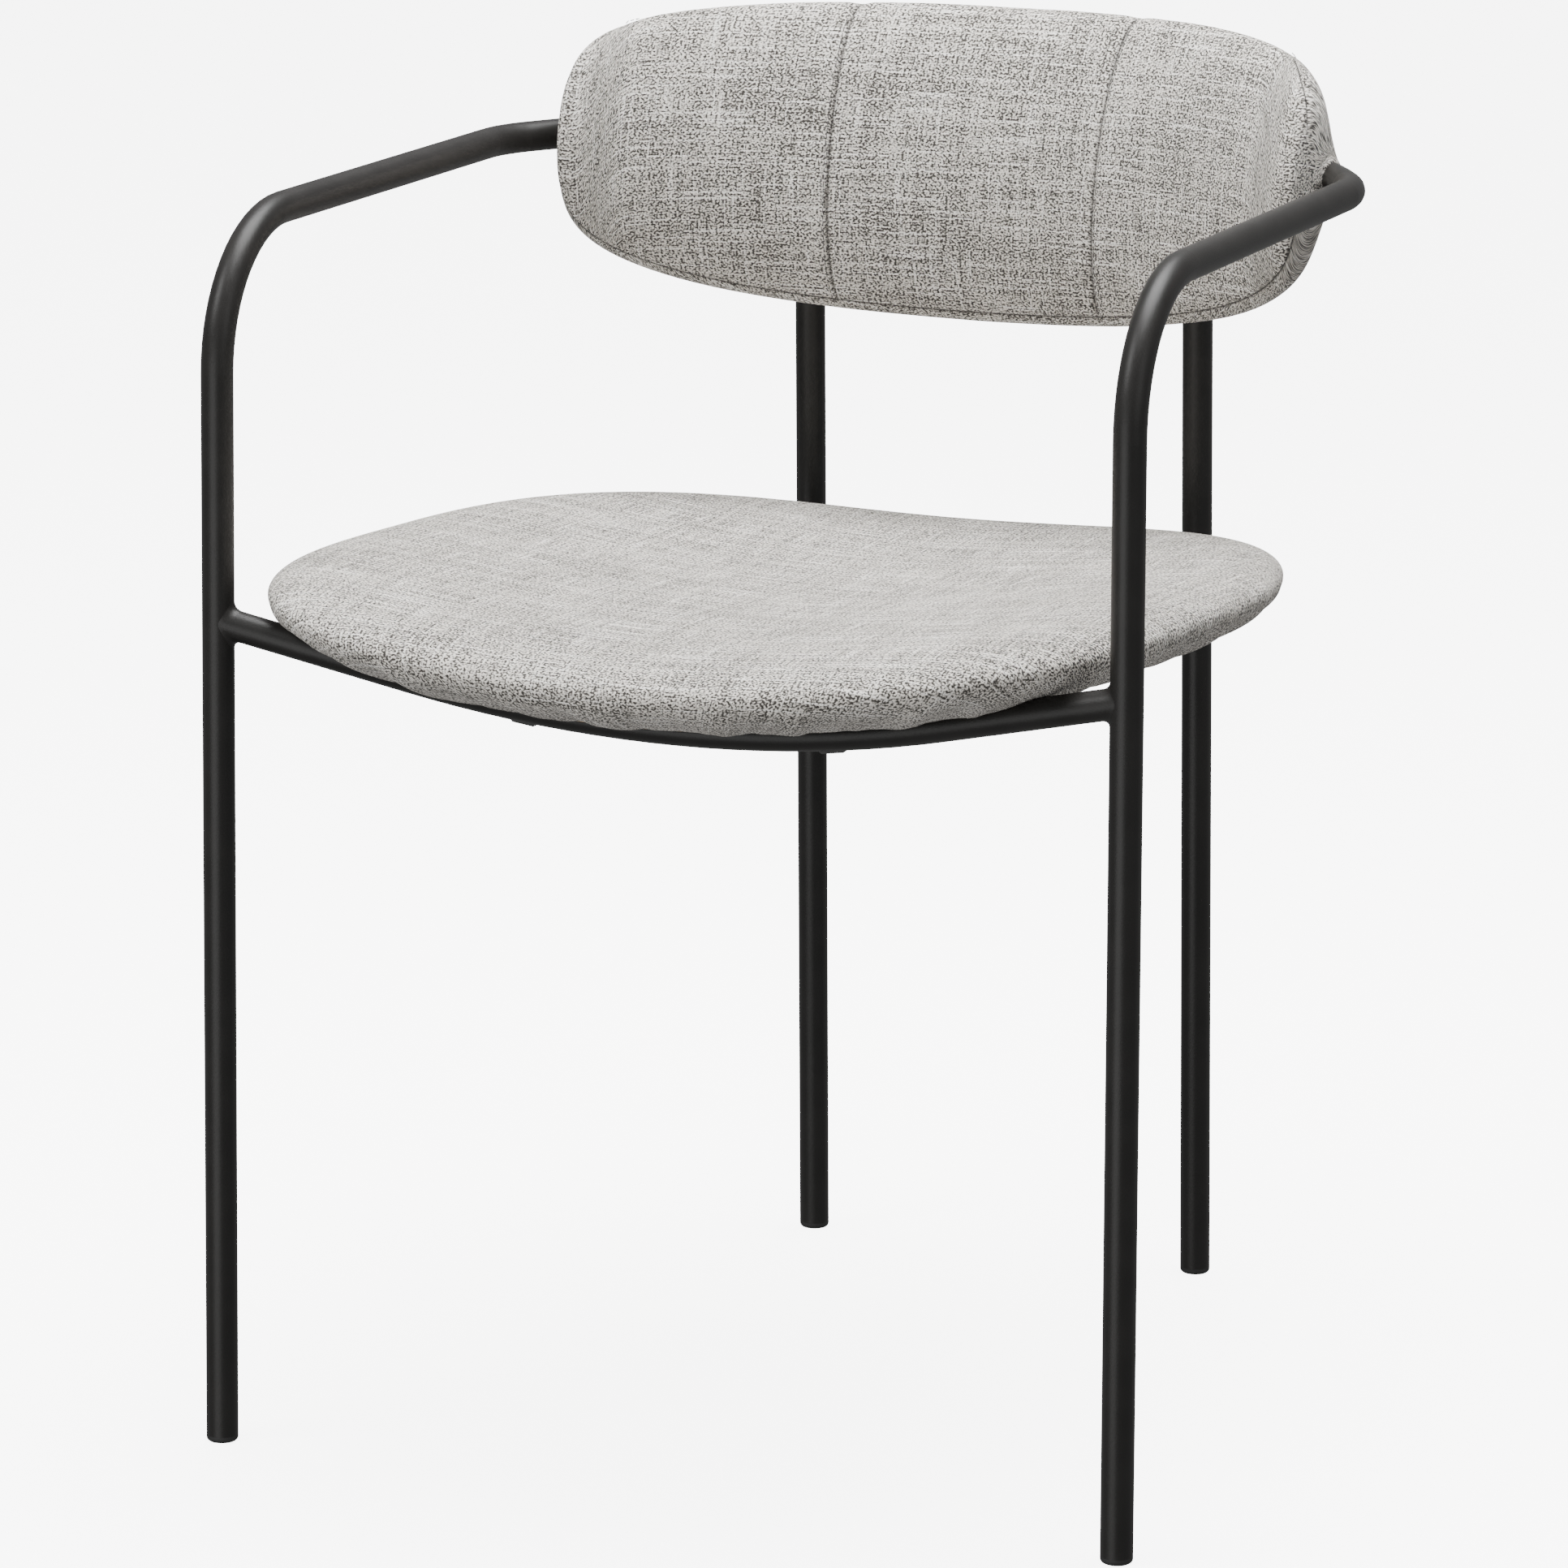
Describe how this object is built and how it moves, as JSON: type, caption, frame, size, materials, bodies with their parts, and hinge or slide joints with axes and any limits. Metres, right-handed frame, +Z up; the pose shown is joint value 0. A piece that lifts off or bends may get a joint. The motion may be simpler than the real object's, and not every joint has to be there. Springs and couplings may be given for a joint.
{
  "type": "dining armchair",
  "caption": "Dining armchair with a bent round-tube frame that forms legs, arms and back hoop, a dished upholstered seat and a curved upholstered back.",
  "frame": {"origin": "middle of the chair's footprint box, on the floor", "axes": "+X to the right seen from in front, +Y from the front towards the back, +Z up"},
  "size_m": [0.554, 0.6282, 0.7716],
  "materials": {
    "frame_paint": "fine-texture satin powder coat, near black",
    "glide_plastic": "black moulded plastic",
    "upholstery_cloth": "light warm grey slubbed linen-look plain weave",
    "foam": "cut polyurethane foam",
    "plywood": "moulded plywood",
    "lining_cloth": "black non-woven lining",
    "zinc_steel": "zinc plated",
    "black_steel": "black oxide"
  },
  "bodies": {
    "root": {"arm_hoop": "frame_paint", "rear_leg_left": "frame_paint", "rear_leg_right": "frame_paint", "front_rail": "frame_paint", "rear_rail": "frame_paint", "seat_bearer_left": "frame_paint", "seat_bearer_right": "frame_paint", "welds_front_rail": "frame_paint", "welds_rear_legs": "frame_paint", "welds_seat_frame": "frame_paint", "glide_front_left": "glide_plastic", "glide_front_right": "glide_plastic", "glide_rear_left": "glide_plastic", "glide_rear_right": "glide_plastic", "seat_cover": "upholstery_cloth", "seat_foam": "foam", "seat_shell": "plywood", "seat_lining": "lining_cloth", "seat_tee_nuts": "zinc_steel", "seat_bolts": "black_steel", "seat_spacers": "glide_plastic", "back_cover_left": "upholstery_cloth", "back_cover_centre": "upholstery_cloth", "back_cover_right": "upholstery_cloth", "back_cover_rear": "upholstery_cloth", "back_foam_front": "foam", "back_foam_rear": "foam", "back_panel": "plywood", "back_saddles": "glide_plastic", "back_tee_nuts": "zinc_steel", "back_bolts": "black_steel"}
  },
  "joints": []
}
